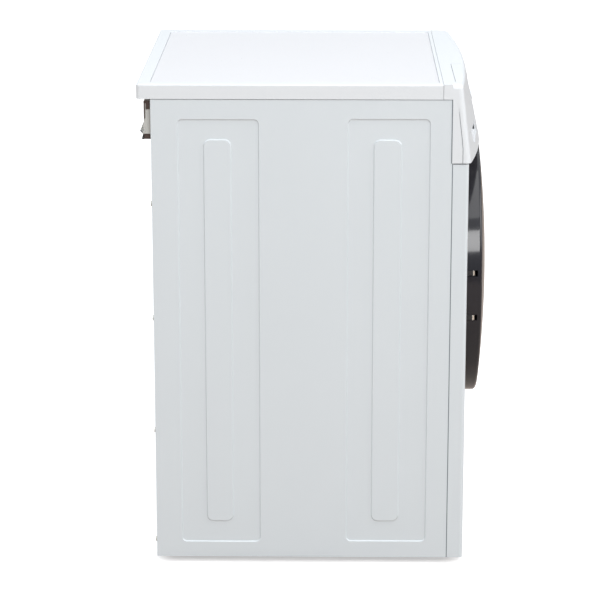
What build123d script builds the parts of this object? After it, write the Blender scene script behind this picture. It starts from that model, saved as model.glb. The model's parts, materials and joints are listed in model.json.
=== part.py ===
from build123d import *
import os
from math import cos, sin, radians, degrees, atan2, acos, hypot

# Condenser clothes dryer, millimetres.
# The front faces -Y, +X is the machine's right as seen from the front, +Z is up.
# The origin is on the floor, under the centre of the whole machine.

os.makedirs("parts", exist_ok=True)

# Overall sizes
width = 595.0
height = 846.0
worktop_thickness = 25.0
worktop_rear = 300.0
worktop_front = -211.0
sheet = 1.2
seam = 2.0

# Cabinet
side_x = width / 2 - 1.0
side_front = -227.0
side_rear = 276.6
side_bottom = 12.0
side_top = height - worktop_thickness - 1.0
side_flange = 15.0
front_face = -255.6
front_flange_back = -228.0
front_top = 711.0
front_corner = 6.0

# Console
console_bottom = front_top + seam
console_wall = 3.0
console_top_end = -243.0
console_top_crown = -257.0
console_foot_end = -258.0
console_foot_crown = -286.0
console_corner = 10.0
console_brow = 8.0

# Door and loading opening
axis_z = 474.0
door_radius = 235.0
door_back = -258.6
door_rim = -285.4
door_crown = -300.0
door_edge = 6.0
door_wall = 3.0
door_glass_radius = 162.0
opening_radius = 200.0
throat_radius = 186.0
hinge_x = -227.0
hinge_y = -270.0
hinge_pin_radius = 2.0
ear_heights = (428.0, 507.0)
ear_half = 4.5
ear_radius = 3.5

# Drum
drum_radius = 280.0
drum_wall = 1.5
drum_front = -187.0
drum_back_y = 225.0
neck_radius = 230.0
shaft_radius = 12.0
running_gap = 0.05
body_gap = 0.3

# Base
base_floor = 13.5
base_wall = 3.0
channel_left = -278.0
channel_right = -22.0
channel_top = 186.0
channel_floor = 34.0
base_front = -225.4
channel_rear = 112.0
foot_x = 240.0
foot_front_y = -190.0
foot_rear_y = 235.0
foot_stem_radius = 5.0
stem_top = 32.0

# Belt drive
motor_x = 150.0
motor_z = 95.0
pulley_radius = 10.0
belt_thickness = 3.0
belt_front = 125.0
belt_rear = 137.0
idler_radius = 15.0
roller_radius = 25.0
roller_angle = 40.0
roller_pin_radius = 5.0

drum_axis = Axis((0, 0, axis_z), (0, 1, 0))


def frontal(y):
    """Plane across the machine at depth y: local x is +X, local y is +Z, normal is -Y."""
    return Plane(origin=(0, y, 0), x_dir=(1, 0, 0), z_dir=(0, -1, 0))


def block(x, y, z, mode=Mode.ADD):
    """A box between two limits on each axis."""
    with BuildSketch(Plane.XY.offset(z[0])) as outline:
        with Locations(((x[0] + x[1]) / 2, (y[0] + y[1]) / 2)):
            Rectangle(x[1] - x[0], y[1] - y[0])
    extrude(outline.sketch, amount=z[1] - z[0], mode=mode)


def tube(y, outer, inner=0.0, at=(0.0, axis_z), mode=Mode.ADD):
    """A round bar or tube along Y, about the point at = (x, z)."""
    with BuildSketch(frontal(y[0])) as outline:
        with Locations(at):
            Circle(outer)
            if inner > 0:
                Circle(inner, mode=Mode.SUBTRACT)
    extrude(outline.sketch, amount=-(y[1] - y[0]), mode=mode)


def save(piece, label):
    piece.part.label = label
    export_step(piece.part, f"parts/{label}.step")


# ---------------------------------------------------------------- worktop
frame_border = 22.0
board_recess = 1.2
board_thickness = 16.0
board_x = width / 2 - frame_border
board_y = (worktop_front + 6.0, worktop_rear - frame_border)
board_z = (height - board_recess - board_thickness, height - board_recess)

with BuildPart() as worktop_frame:
    block((-width / 2, width / 2), (worktop_front, worktop_rear), (height - worktop_thickness, height))
    rear_corners = worktop_frame.edges().filter_by(Axis.Z).group_by(Axis.Y)[-1]
    fillet(rear_corners, radius=6.0)
    rim = worktop_frame.faces().sort_by(Axis.Z)[-1].edges()
    fillet(rim.sort_by(Axis.Y)[1:], radius=3.0)
    block((-board_x - 0.3, board_x + 0.3), (board_y[0] - 0.3, board_y[1] + 0.3), (board_z[0], height + 1),
          mode=Mode.SUBTRACT)
    block((-board_x + 8, board_x - 8), (board_y[0] + 8, board_y[1] - 8),
          (height - worktop_thickness, board_z[0]),
          mode=Mode.SUBTRACT)

with BuildPart() as worktop_board:
    block((-board_x, board_x), board_y, board_z)
    fillet(worktop_board.edges().group_by(Axis.Z)[-1], radius=0.8)

# ---------------------------------------------------------------- side panels
emboss_depth = 2.0
emboss_taper = 40.0
frame_corner = 9.0
slot_corner = 12.0
# Each stiffening field: outer rectangle and the tall slot inside it, as (y limits, z limits)
emboss_fields = (
    (((95.7, 232.7), (39.0, 787.0)), ((142.2, 189.3), (77.0, 753.0))),
    (((-190.9, -52.0), (41.0, 788.0)), ((-143.5, -95.6), (78.0, 753.0))),
)


def flank(depth):
    """Plane facing -X on the left flank, depth mm inside its outer face; local x is -Y."""
    return Plane(origin=(-side_x + depth, 0, 0), x_dir=(0, -1, 0), z_dir=(-1, 0, 0))


def flank_field(limits, grow, corner, depth, amount, taper, mode):
    """One rounded rectangle pressed into or out of the flank."""
    (y0, y1), (z0, z1) = limits
    with BuildSketch(flank(depth)) as outline:
        with Locations((-(y0 + y1) / 2, (z0 + z1) / 2)):
            RectangleRounded(y1 - y0 + 2 * grow, z1 - z0 + 2 * grow, corner + grow)
    extrude(outline.sketch, amount=amount, taper=taper, mode=mode)


with BuildPart() as left_side_panel:
    block((-side_x, -side_x + sheet), (side_front, side_rear), (side_bottom, side_top))
    inner_x = -side_x + sheet
    block((inner_x, inner_x + side_flange), (side_front, side_front + sheet), (side_bottom, side_top))
    block((inner_x, inner_x + side_flange), (side_front, side_rear), (side_top - sheet, side_top))
    block((inner_x, inner_x + side_flange), (side_front, side_rear), (side_bottom, side_bottom + sheet))
    for field, slot in emboss_fields:
        flank_field(field, sheet, frame_corner, sheet, -emboss_depth, 0, Mode.ADD)
        flank_field(field, 0, frame_corner, 0, -emboss_depth, emboss_taper, Mode.SUBTRACT)
        flank_field(slot, 0, slot_corner, emboss_depth, emboss_depth, emboss_taper, Mode.ADD)
        flank_field(slot, -2.5, slot_corner, sheet + emboss_depth, emboss_depth, emboss_taper,
                    Mode.SUBTRACT)

with BuildPart() as right_side_panel:
    mirror(left_side_panel.part, about=Plane.YZ)

# ---------------------------------------------------------------- rear panel
guide_x = (-286.0, -214.0)
guide_bottom = 760.0
guide_top = 816.5
guide_front = 264.0
guide_rear = 287.0
guide_wall = 2.0
clip_thickness = 1.6
clip_foot = 751.0
inlet_x = 240.0
inlet_z = 120.0
rear_half = side_x - sheet - 0.1
rear_top = side_top - sheet - 0.2

with BuildPart() as rear_panel:
    block((-rear_half, rear_half), (side_rear - sheet, side_rear), (14.0, rear_top))
    # pressed ring and ribs that stiffen the sheet
    tube((side_rear, side_rear + 2.0), 214.0, 206.0)
    tube((side_rear, side_rear + 2.0), 78.0, 72.0)
    for rib_x in (-255.0, 255.0):
        block((rib_x - 4, rib_x + 4), (side_rear, side_rear + 2.0), (200.0, 700.0))
    # louvre field for the cooling air
    with BuildSketch(frontal(side_rear + 3.0)):
        with Locations((0, 150.0)):
            with GridLocations(44.0, 11.0, 8, 9):
                SlotOverall(36.0, 5.0)
        with Locations((0, axis_z)):
            with PolarLocations(140.0, 24):
                SlotOverall(70.0, 5.0)
    extrude(amount=6.0 + sheet, both=True, mode=Mode.SUBTRACT)
    # cut-outs for the tank housing and the mains inlet
    block((guide_x[0] - 2, guide_x[1] + 2), (270.0, 280.0), (clip_foot - 2, rear_top + 1),
          mode=Mode.SUBTRACT)
    tube((270.0, 280.0), 9.1, at=(inlet_x, inlet_z), mode=Mode.SUBTRACT)

screw_spots = [(x, z) for x in (-284.0, 284.0) for z in (40.0, 240.0, 440.0, 640.0)]
screw_spots += [(x, 24.0) for x in (-150.0, 0.0, 150.0)] + [(x, 805.0) for x in (-60.0, 90.0, 240.0)]

with BuildPart() as panel_screws:
    with BuildSketch(frontal(side_rear)):
        with Locations(*screw_spots):
            Circle(4.5)
    extrude(amount=-2.4)
    with BuildSketch(frontal(side_rear + 2.4)):
        with Locations(*screw_spots):
            Rectangle(5.0, 1.0)
            Rectangle(1.0, 5.0)
    extrude(amount=1.2, mode=Mode.SUBTRACT)

# ---------------------------------------------------------------- front panel
flap_x = (-270.0, -30.0)
flap_z = (28.5, 192.5)
catch_z = axis_z
catch_slot_x = (210.5, 227.0)
catch_slot_z = (catch_z - 11.0, catch_z + 11.0)


def front_tray(inset, z):
    """The front panel's plan outline, drawn in by inset, between two heights."""
    front = front_face + inset
    with BuildSketch(Plane.XY.offset(z[0])) as outline:
        with Locations((0, (front + front_flange_back + inset) / 2)):
            Rectangle(2 * (side_x - inset), front_flange_back + inset - front)
        fillet(outline.vertices().group_by(Axis.Y)[0], radius=front_corner - inset)
    return outline.sketch


with BuildPart() as front_panel:
    extrude(front_tray(0, (side_bottom, front_top)), amount=front_top - side_bottom)
    extrude(front_tray(sheet, (side_bottom + sheet, front_top)),
            amount=front_top - side_bottom - 2 * sheet,
            mode=Mode.SUBTRACT)
    tube((front_face - 1, front_face + 2), opening_radius, mode=Mode.SUBTRACT)
    block(flap_x, (front_face - 1, front_face + 2), flap_z, mode=Mode.SUBTRACT)
    block(catch_slot_x, (front_face - 1, front_face + 2), catch_slot_z, mode=Mode.SUBTRACT)
    for ear_z in ear_heights:
        block((hinge_x - 5, hinge_x + 5), (front_face - 1, front_face + 2), (ear_z - 6, ear_z + 6),
              mode=Mode.SUBTRACT)

# ---------------------------------------------------------------- console
drawer_x = (-267.2, -84.8)
drawer_bottom = 757.4
drawer_rear = -232.3
drawer_gap = 0.8
grip_x = (-217.0, -135.0)
grip_z = (736.0, drawer_bottom - drawer_gap)
grip_back = -245.0
knob_x = 180.0
knob_z = 785.0
knob_radius = 27.0
knob_proud = 8.5
skirt_proud = 2.0
skirt_seat = 0.6
spindle_radius = 3.0
spindle_length = 15.0
encoder_back = 27.0
encoder_depth = 19.0
window_x = (14.0, 118.0)
window_z = (768.0, 808.0)
fit_gap = 0.3
round_buttons = {"power_button": (-40.0, 785.0, 9.0), "start_button": (252.0, 786.0, 13.0)}
bar_buttons = {"option_button_left": (40.0, 750.0), "option_button_right": (92.0, 750.0)}
bar_size = (34.0, 10.0)
board_y_front = -238.0
button_proud = 1.0
cap_seam_line = ((-237.0, 806.0), (-239.5, 784.0), (-243.0, 756.0), (-244.8, 738.0),
                 (-244.8, console_bottom - 1))
cap_seam_width = 1.0
cap_seam_depth = 1.2


def console_form(inset, corner, brow):
    """The console's solid outline: bowed in plan, leaning out towards its foot."""
    reach = width / 2 - inset
    levels = ((console_bottom + inset, console_foot_end, console_foot_crown),
              (height - inset, console_top_end, console_top_crown))
    with BuildPart() as form:
        for level, end_y, crown_y in levels:
            with BuildSketch(Plane.XY.offset(level)):
                with BuildLine():
                    ThreePointArc((-reach, end_y + inset), (0, crown_y + inset), (reach, end_y + inset))
                    Polyline((reach, end_y + inset), (reach, side_front), (-reach, side_front),
                             (-reach, end_y + inset))
                make_face()
        loft()
        tall = form.edges().filter_by(lambda edge: edge.length > 100 and edge.center().Z < height - 20)
        fillet(tall.filter_by(lambda edge: side_front - 5 > edge.center().Y and abs(edge.center().X) > 200),
               radius=corner)
        top_edges = form.faces().sort_by(Axis.Z)[-1].edges()
        fillet(top_edges.sort_by(Axis.Y)[:-1], radius=brow)
    return form.part


def face_y(x, z):
    """Depth of the console's outer face at a point of its front view."""
    lean = (z - console_bottom) / (height - console_bottom)
    end_y = console_foot_end + lean * (console_top_end - console_foot_end)
    crown_y = console_foot_crown + lean * (console_top_crown - console_foot_crown)
    return crown_y + (end_y - crown_y) * (2 * x / width) ** 2


console_outer = console_form(0, console_corner, console_brow)
console_inner = console_form(console_wall, console_corner - console_wall, console_brow - console_wall)
knob_yaw = face_y(knob_x + 1, knob_z) - face_y(knob_x, knob_z)
knob_lean = face_y(knob_x, knob_z + 1) - face_y(knob_x, knob_z)
knob_face = Plane(origin=(knob_x, face_y(knob_x, knob_z), knob_z), x_dir=(1, knob_yaw, 0),
                  z_dir=(knob_yaw, -1, knob_lean))

with BuildPart() as console:
    add(console_outer)
    # lip that carries the top back to the worktop
    block((-width / 2, width / 2), (side_front, worktop_front - 0.6), (side_top + 1.0, height))
    block((-width / 2 + 3, width / 2 - 3), (side_front - 1, worktop_front),
          (side_top, height - console_wall),
          mode=Mode.SUBTRACT)
    add(console_inner, mode=Mode.SUBTRACT)
    # finger pocket under the drawer
    block((grip_x[0] - 2, grip_x[1] + 2), (face_y(-176, 745) + 1, grip_back + 2),
          (grip_z[0] - 2, grip_z[1]))
    block(grip_x, (-320, grip_back), (grip_z[0], grip_z[1] + 1), mode=Mode.SUBTRACT)
    block((drawer_x[0] - drawer_gap, drawer_x[1] + drawer_gap), (-320, drawer_rear + drawer_gap),
          (drawer_bottom - drawer_gap, height + 5), mode=Mode.SUBTRACT)
    block((window_x[0] - 0.2, window_x[1] + 0.2), (-320, -240), (window_z[0] - 0.2, window_z[1] + 0.2),
          mode=Mode.SUBTRACT)
    # dial recess and spindle hole
    with BuildSketch(knob_face.offset(-1.2)):
        Circle(knob_radius + 6)
    extrude(amount=6, mode=Mode.SUBTRACT)
    with BuildSketch(knob_face.offset(-8)):
        Circle(6)
    extrude(amount=12, mode=Mode.SUBTRACT)
    # seam of each end cap
    for end_x in (-width / 2, width / 2):
        with BuildSketch(Plane.YZ.offset(end_x)) as cap_seam:
            with BuildLine():
                Polyline(*cap_seam_line)
            trace(line_width=cap_seam_width)
        extrude(cap_seam.sketch, amount=cap_seam_depth, both=True, mode=Mode.SUBTRACT)
    for x, z, radius in round_buttons.values():
        tube((-320, -240), radius + fit_gap, at=(x, z), mode=Mode.SUBTRACT)
    for x, z in bar_buttons.values():
        block((x - bar_size[0] / 2 - fit_gap, x + bar_size[0] / 2 + fit_gap), (-320, -240),
              (z - bar_size[1] / 2 - fit_gap, z + bar_size[1] / 2 + fit_gap), mode=Mode.SUBTRACT)

with BuildPart() as display_window:
    add(console_outer)
    block(window_x, (-320, -240), window_z, mode=Mode.INTERSECT)
    add(console_inner, mode=Mode.SUBTRACT)

with BuildPart() as programme_knob:
    with BuildSketch(knob_face.offset(-skirt_seat)):
        Circle(knob_radius + 3)
    extrude(amount=skirt_seat + skirt_proud)
    with BuildSketch(knob_face.offset(skirt_proud)):
        Circle(knob_radius)
    extrude(amount=knob_proud - skirt_proud, taper=3)
    fillet(programme_knob.faces().sort_by(Axis.Y)[0].edges(), radius=1.5)
    # grip flutes and the pointer groove
    with BuildSketch(knob_face.offset(skirt_proud + 0.6)):
        with PolarLocations(knob_radius + 0.8, 36):
            Circle(1.4)
    extrude(amount=knob_proud - skirt_proud - 2.4, mode=Mode.SUBTRACT)
    with BuildSketch(knob_face.offset(knob_proud - 0.6)):
        with Locations((0, knob_radius - 10)):
            Rectangle(2.4, 12)
    extrude(amount=2, mode=Mode.SUBTRACT)
    with BuildSketch(knob_face.offset(-skirt_seat)):
        Circle(spindle_radius)
    extrude(amount=-spindle_length)


def button_cap(x, z, half_width, half_height, is_round):
    """A cap that follows the console's face, stands a little proud and has a stem to its switch."""
    back = face_y(x, z) + 9
    with BuildPart() as cap:
        add(Pos(0, -button_proud, 0) * console_outer)
        if is_round:
            tube((-320, back), half_width, at=(x, z), mode=Mode.INTERSECT)
        else:
            block((x - half_width, x + half_width), (-320, back), (z - half_height, z + half_height),
                  mode=Mode.INTERSECT)
        tube((back, board_y_front - 2.0), 2.5, at=(x, z))
    return cap


buttons = {name: button_cap(x, z, radius, radius, True) for name, (x, z, radius) in round_buttons.items()}
for name, (x, z) in bar_buttons.items():
    buttons[name] = button_cap(x, z, bar_size[0] / 2, bar_size[1] / 2, False)

with BuildPart() as control_board:
    block((-75.0, 262.0), (board_y_front, board_y_front + 1.6), (732.0, 806.0))
    for chip_x in (20.0, 60.0, 130.0, 200.0):
        block((chip_x - 12, chip_x + 12), (board_y_front + 1.6, board_y_front + 6), (750.0, 766.0))
    with BuildSketch(knob_face.offset(-encoder_back)):
        Circle(9)
        Circle(spindle_radius + running_gap, mode=Mode.SUBTRACT)
    extrude(amount=encoder_depth)

# ---------------------------------------------------------------- tank drawer
tank_x = (-262.0, -90.0)
tank_y = (drawer_rear, 220.0)
tank_z = (759.0, 812.0)
tank_wall = 2.0

with BuildPart() as tank_drawer_front:
    add(console_outer)
    block(drawer_x, (-320, drawer_rear), (drawer_bottom, height + 5), mode=Mode.INTERSECT)
    add(console_inner, mode=Mode.SUBTRACT)
    block(drawer_x, (drawer_rear - console_wall, drawer_rear), (drawer_bottom, height - console_wall))
    block(drawer_x, (-250, drawer_rear), (drawer_bottom, drawer_bottom + console_wall))
    block((grip_x[0], grip_x[1]), (-258, grip_back), (drawer_bottom - 1, drawer_bottom + 12),
          mode=Mode.SUBTRACT)

with BuildPart() as water_tank:
    block(tank_x, tank_y, tank_z)
    fillet(water_tank.edges().filter_by(Axis.Z), radius=8.0)
    fillet(water_tank.edges().filter_by(Axis.Y), radius=5.0)
    block((tank_x[0] + tank_wall, tank_x[1] - tank_wall), (tank_y[0] + tank_wall, tank_y[1] - tank_wall),
          (tank_z[0] + tank_wall, tank_z[1] - tank_wall), mode=Mode.SUBTRACT)
    # filling mouth at the rear and pouring mouth at the front
    for mouth_x, mouth_y, mouth_radius in ((-240.0, 190.0, 14.0), (-112.0, -200.0, 16.0)):
        with BuildSketch(Plane.XY.offset(tank_z[1] - 10)):
            with Locations((mouth_x, mouth_y)):
                Circle(mouth_radius)
        extrude(amount=20, mode=Mode.SUBTRACT)

with BuildPart() as tank_housing:
    housing_x = (tank_x[0] - 4, tank_x[1] + 4)
    block(housing_x, (-222.0, 262.0), (tank_z[0] - 2.5, 816.0))
    block((housing_x[0] + 2, housing_x[1] - 2), (-223.0, 225.0), (tank_z[0] - 0.5, 817.0),
          mode=Mode.SUBTRACT)
    block((housing_x[0] + 2, housing_x[1] - 2), (227.0, 260.0), (tank_z[0] - 0.5, 817.0),
          mode=Mode.SUBTRACT)

with BuildPart() as hose_guide:
    with BuildSketch(Plane.YZ.offset(guide_x[0])):
        with BuildLine():
            Polyline((guide_front, guide_top), (guide_rear, guide_top), (guide_rear, 785.0),
                     (289.5, 778.0),
                     (289.5, 768.0), (287.5, 764.5), (290.5, 764.5), (293.5, 768.0), (295.0, 765.5),
                     (291.0, guide_bottom), (guide_front, guide_bottom), (guide_front, guide_top))
        make_face()
    extrude(amount=guide_x[1] - guide_x[0])
    block((guide_x[0] + guide_wall, guide_x[1] - guide_wall), (guide_front - 1, guide_rear - guide_wall),
          (guide_bottom + guide_wall, guide_top - guide_wall), mode=Mode.SUBTRACT)
    # ribs across the outside
    for rib_x in (-268.0, -250.0, -232.0):
        block((rib_x - 1, rib_x + 1), (guide_rear - 1, guide_rear + 3), (guide_bottom + 8, guide_top - 4))

with BuildPart() as hose_clip:
    block((guide_x[0] - clip_thickness, guide_x[0]), (278.5, 284.5), (802.0, guide_top))
    block((guide_x[0] - clip_thickness, guide_x[0] - 0.4), (278.5, 288.5), (812.0, guide_top))
    # foot of the guide
    block(guide_x, (guide_front, 289.0), (clip_foot, guide_bottom))

# ---------------------------------------------------------------- rails
with BuildPart() as cross_rails:
    rail_z = side_top - sheet - 2.2
    rail_half = side_x - sheet - 0.3
    block((-rail_half, rail_half), (-225.0, -190.0), (rail_z, rail_z + 2))
    block((-78.0, rail_half - 15), (-192.0, -190.0), (rail_z - 24, rail_z))
    block((-200.0, rail_half), (240.0, 262.0), (rail_z, rail_z + 2))
    block((-78.0, rail_half), (240.0, 242.0), (rail_z - 24, rail_z))

# ---------------------------------------------------------------- front bulkhead and throat
plate_front = -204.0
plate_back = plate_front + 2
collar_radius = 225.0
filter_x = 100.5
filter_y = (-237.3, -212.7)
filter_floor = 190.0
roller_spots = [(side * (drum_radius + roller_radius + body_gap) * sin(radians(roller_angle)),
                 axis_z - (drum_radius + roller_radius + body_gap) * cos(radians(roller_angle)))
                for side in (-1, 1)]

with BuildPart() as front_bulkhead:
    block((-288.0, 288.0), (plate_front, plate_back), (channel_top + 6, 745.0))
    tube((plate_front - 1, plate_back + 1), throat_radius, mode=Mode.SUBTRACT)
    tube((plate_back, -186.0), collar_radius, collar_radius - 3)
    for spot in roller_spots:
        tube((plate_back, -165.0), roller_pin_radius, at=spot)
    fillet(front_bulkhead.edges().filter_by(Axis.Y).filter_by(lambda e: abs(e.center().X) > 280),
           radius=20)

with BuildPart() as drum_felt:
    tube((-201.0, -187.0), neck_radius - 0.4, collar_radius)

with BuildPart() as door_throat:
    tube((-251.5, plate_front), throat_radius + 3, throat_radius)
    tube((-255.0, -251.5), opening_radius - 0.5, throat_radius)
    block((-filter_x - 1.2, filter_x + 1.2), (filter_y[0] - 0.6, filter_y[1] + 0.6), (240.0, 330.0),
          mode=Mode.SUBTRACT)

with BuildPart() as door_seal:
    with BuildSketch(Plane.YZ):
        with BuildLine():
            Polyline((-255.0, axis_z + 189), (-255.0, axis_z + 197), (-256.4, axis_z + 197))
            ThreePointArc((-256.4, axis_z + 197), (-258.3, axis_z + 193), (-256.4, axis_z + 189))
            Line((-256.4, axis_z + 189), (-255.0, axis_z + 189))
        make_face()
    revolve(axis=drum_axis)

with BuildPart() as filter_duct:
    block((-filter_x - 3, filter_x + 3), (filter_y[0] - 2.6, filter_y[1] + 2.6), (filter_floor, 330.0))
    block((-filter_x - 1, filter_x + 1), (filter_y[0] - 0.6, filter_y[1] + 0.6),
          (filter_floor + 2, 331.0),
          mode=Mode.SUBTRACT)
    tube((-260.0, -200.0), throat_radius + 3.1, mode=Mode.SUBTRACT)

with BuildPart() as lint_filter:
    block((-filter_x, filter_x), filter_y, (filter_floor + 2.5, 330.0))
    block((-filter_x + 3, filter_x - 3), (filter_y[0] + 3, filter_y[1] - 3), (filter_floor + 6, 331.0),
          mode=Mode.SUBTRACT)
    with BuildSketch(frontal(filter_y[0] - 1)):
        for window_centre in (-62.0, 0.0, 62.0):
            with Locations((window_centre, 240.0)):
                RectangleRounded(52.0, 66.0, 5.0)
    extrude(amount=-30, mode=Mode.SUBTRACT)
    tube((-260.0, -200.0), throat_radius + 1, mode=Mode.SUBTRACT)
    block((-24.0, 24.0), (-227.0, -223.0), (filter_floor + 4, 296.0))

with BuildPart() as lint_mesh:
    for mesh_y in (filter_y[0] + 3, filter_y[1] - 3.8):
        block((-filter_x + 3, filter_x - 3), (mesh_y, mesh_y + 0.8), (filter_floor + 6, 282.0))

# ---------------------------------------------------------------- drum
drum_inner = drum_radius - drum_wall

with BuildPart() as drum_shell:
    tube((drum_front, drum_back_y), drum_radius, drum_inner)
    tube((drum_front, drum_front + drum_wall), drum_inner + 0.5, neck_radius)
    tube((drum_front - 13, drum_front), neck_radius + drum_wall, neck_radius)
    # rolled beads that stiffen the shell on each side of the belt track
    for bead_y in (-60.0, 60.0):
        tube((bead_y - 4, bead_y + 4), drum_inner + 0.5, drum_inner - 1.5)

with BuildPart() as drum_back:
    tube((drum_back_y - drum_wall, drum_back_y), drum_inner - 0.05)
    with BuildSketch(frontal(drum_back_y - 5)):
        with Locations((0, axis_z)):
            for ring_radius, count in ((70.0, 14), (100.0, 20), (130.0, 26), (160.0, 32), (190.0, 38)):
                with PolarLocations(ring_radius, count):
                    Circle(4.5)
    extrude(amount=-10, mode=Mode.SUBTRACT)
    tube((drum_back_y, drum_back_y + 4), 44.0)
    tube((drum_back_y + 4, 258.0), shaft_radius)

with BuildPart() as drum_lifters:
    with BuildSketch(frontal(-172.0)):
        with Locations((0, axis_z)):
            with PolarLocations(drum_inner - 28, 3, start_angle=90):
                Trapezoid(64.0, 60.0, 68.0, rotation=90)
            Circle(drum_inner - 1.6, mode=Mode.INTERSECT)
    extrude(amount=-380.0)
    fillet(drum_lifters.edges().filter_by(Axis.Y).filter_by(
        lambda e: hypot(e.center().X, e.center().Z - axis_z) < 240), radius=8)

# ---------------------------------------------------------------- rear bulkhead and heater
bulkhead_y = (236.0, 238.0)
duct_radius = 200.0

with BuildPart() as rear_bulkhead:
    block((-288.0, 288.0), bulkhead_y, (60.0, 745.0))
    tube((bulkhead_y[0] - 5, bulkhead_y[1] + 10), 24.0, 0)
    tube((bulkhead_y[1], 266.0), duct_radius + 2, duct_radius)
    tube((266.0, 268.0), duct_radius + 2)
    with BuildSketch(frontal(bulkhead_y[0] - 1)):
        with Locations((0, axis_z)):
            with PolarLocations(150.0, 12):
                Circle(20)
    extrude(amount=-4, mode=Mode.SUBTRACT)
    tube((bulkhead_y[0] - 6, 260.0), shaft_radius + running_gap, mode=Mode.SUBTRACT)

with BuildPart() as heater:
    for coil_radius in (110.0, 145.0, 180.0):
        with BuildSketch(Plane.YZ):
            with Locations((252.0, axis_z + coil_radius)):
                Circle(4)
        revolve(axis=drum_axis)
    for arm_angle in (0, 90, 180, 270):
        with BuildSketch(frontal(248.0)):
            with Locations((0, axis_z)):
                with PolarLocations(145.0, 1, start_angle=arm_angle):
                    Rectangle(84.0, 10.0)
        extrude(amount=-8)

# ---------------------------------------------------------------- base
flap_pin_y = -249.5
flap_pin_z = 36.0
flap_pin_radius = 2.5
foot_spots = {"front_left": (-foot_x, foot_front_y), "front_right": (foot_x, foot_front_y),
              "rear_left": (-foot_x, foot_rear_y), "rear_right": (foot_x, foot_rear_y)}
arm_pivot = (17.0, 130.0)
arm_pin_radius = 5.0


def across(x):
    """Plane facing +X at x: local x is +Y, local y is +Z."""
    return Plane.YZ.offset(x)


with BuildPart() as base_tray:
    block((-293.0, 293.0), (base_front, 274.0), (base_floor, 60.0))
    block((-290.0, 290.0), (base_front + base_wall, 271.0), (base_floor + base_wall, 61.0),
          mode=Mode.SUBTRACT)
    # channel that holds the condenser, open towards the service flap
    block((channel_left, channel_right), (base_front, channel_rear), (base_floor, channel_top))
    block((channel_left + base_wall, channel_right - base_wall),
          (base_front - 1, channel_rear - base_wall),
          (channel_floor, channel_top - base_wall), mode=Mode.SUBTRACT)
    for x, y in foot_spots.values():
        block((x - 14, x + 14), (y - 14, y + 14), (base_floor + base_wall, channel_floor))
        with BuildSketch(Plane.XY.offset(base_floor - 1)):
            with Locations((x, y)):
                Circle(foot_stem_radius + running_gap)
        extrude(amount=stem_top - base_floor + 2, mode=Mode.SUBTRACT)
    # cradle for the motor and post for the belt tensioner
    for cradle_y in (0.0, 78.0):
        block((motor_x - 50, motor_x + 50), (cradle_y, cradle_y + 8),
              (base_floor + base_wall, motor_z - 20))
    tube((-11.0, 96.0), 58.4, at=(motor_x, motor_z), mode=Mode.SUBTRACT)
    block((arm_pivot[0] - 12, arm_pivot[0] + 12), (150.0, 162.0),
          (base_floor + base_wall, arm_pivot[1] + 12))
    tube((149.0, 163.0), arm_pin_radius + running_gap, at=arm_pivot, mode=Mode.SUBTRACT)
    # ears for the service flap
    for ear_x in ((flap_x[0] - 7, flap_x[0] - 0.6), (flap_x[1] + 0.6, flap_x[1] + 7)):
        block(ear_x, (-254.2, -223.0), (flap_pin_z - 7, flap_pin_z + 7))
        with BuildSketch(across(ear_x[0] - 1)):
            with Locations((flap_pin_y, flap_pin_z)):
                Circle(flap_pin_radius + running_gap)
        extrude(amount=10, mode=Mode.SUBTRACT)

with BuildPart() as service_flap:
    block((flap_x[0] + 1, flap_x[1] - 1), (front_face, -244.0), (flap_z[0] + 2.5, flap_z[1] - 1))
    block((flap_x[0] + 4, flap_x[1] - 4), (front_face + 3, -243.0), (flap_z[0] + 6, flap_z[1] - 4),
          mode=Mode.SUBTRACT)
    # finger notch in the top edge, and the two hinge pins
    block((-172.0, -128.0), (front_face - 1, front_face + 1.6), (flap_z[1] - 9, flap_z[1]),
          mode=Mode.SUBTRACT)
    for pin_x in (flap_x[0] - 5, flap_x[1] - 1):
        with BuildSketch(across(pin_x)):
            with Locations((flap_pin_y, flap_pin_z)):
                Circle(flap_pin_radius)
        extrude(amount=6)
    fillet(service_flap.faces().sort_by(Axis.Y)[0].outer_wire().edges().filter_by(Axis.Z), radius=1.0)

condenser_x = (channel_left + 6, channel_right - 6)
condenser_z = (channel_floor + 3, channel_top - 6)
lever_x = -150.0
lever_z = 100.0

with BuildPart() as condenser_core:
    block(condenser_x, (-212.0, 100.0), condenser_z)
    with BuildSketch(Plane.XY.offset(condenser_z[0] + 4)):
        with Locations(((condenser_x[0] + condenser_x[1]) / 2, -56.0)):
            with GridLocations(12.0, 0, 19, 1):
                Rectangle(7.0, 320.0)
    extrude(amount=condenser_z[1] - condenser_z[0] - 8, mode=Mode.SUBTRACT)

with BuildPart() as condenser_frame:
    block(condenser_x, (-222.0, -212.0), condenser_z)
    block((-262.0, -190.0), (-223.0, -216.0), (60.0, 150.0), mode=Mode.SUBTRACT)
    block((-110.0, -40.0), (-223.0, -216.0), (60.0, 150.0), mode=Mode.SUBTRACT)
    block((-90.0, -60.0), (-217.0, -213.0), (80.0, 130.0), mode=Mode.SUBTRACT)
    tube((-223.0, -214.0), 4 + running_gap, at=(lever_x, lever_z), mode=Mode.SUBTRACT)

with BuildPart() as condenser_lever:
    tube((-222.0, -215.0), 4.0, at=(lever_x, lever_z))
    tube((-232.0, -222.3), 14.0, at=(lever_x, lever_z))
    tube((-222.3, -222.0), 4.0, at=(lever_x, lever_z))
    block((lever_x - 6, lever_x + 6), (-232.0, -225.0), (lever_z, lever_z + 52))
    fillet(condenser_lever.edges().filter_by(Axis.Y).filter_by(lambda e: e.center().Z > lever_z + 45), radius=5)

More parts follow.
